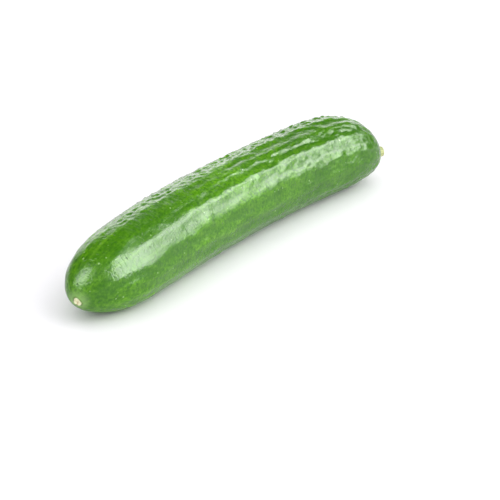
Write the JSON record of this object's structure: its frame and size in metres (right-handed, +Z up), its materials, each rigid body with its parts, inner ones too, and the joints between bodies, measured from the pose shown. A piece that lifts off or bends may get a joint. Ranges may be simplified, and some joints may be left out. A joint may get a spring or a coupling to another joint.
{
  "type": "cucumber",
  "caption": "Whole slicing cucumber lying on its side: a long, slightly bent, ridged green fruit with a rounded blossom end, a small scar and a short cut stem stump.",
  "frame": {"origin": "on the surface that the fruit rests on, under the middle of its box", "axes": "+X runs from the blossom end to the stem end, the fruit bows towards +Y, and +Z is up"},
  "size_m": [0.2486, 0.0512, 0.0447],
  "materials": {
    "skin": "satin"
  },
  "bodies": {
    "root": {"cucumber": "skin"}
  },
  "joints": []
}
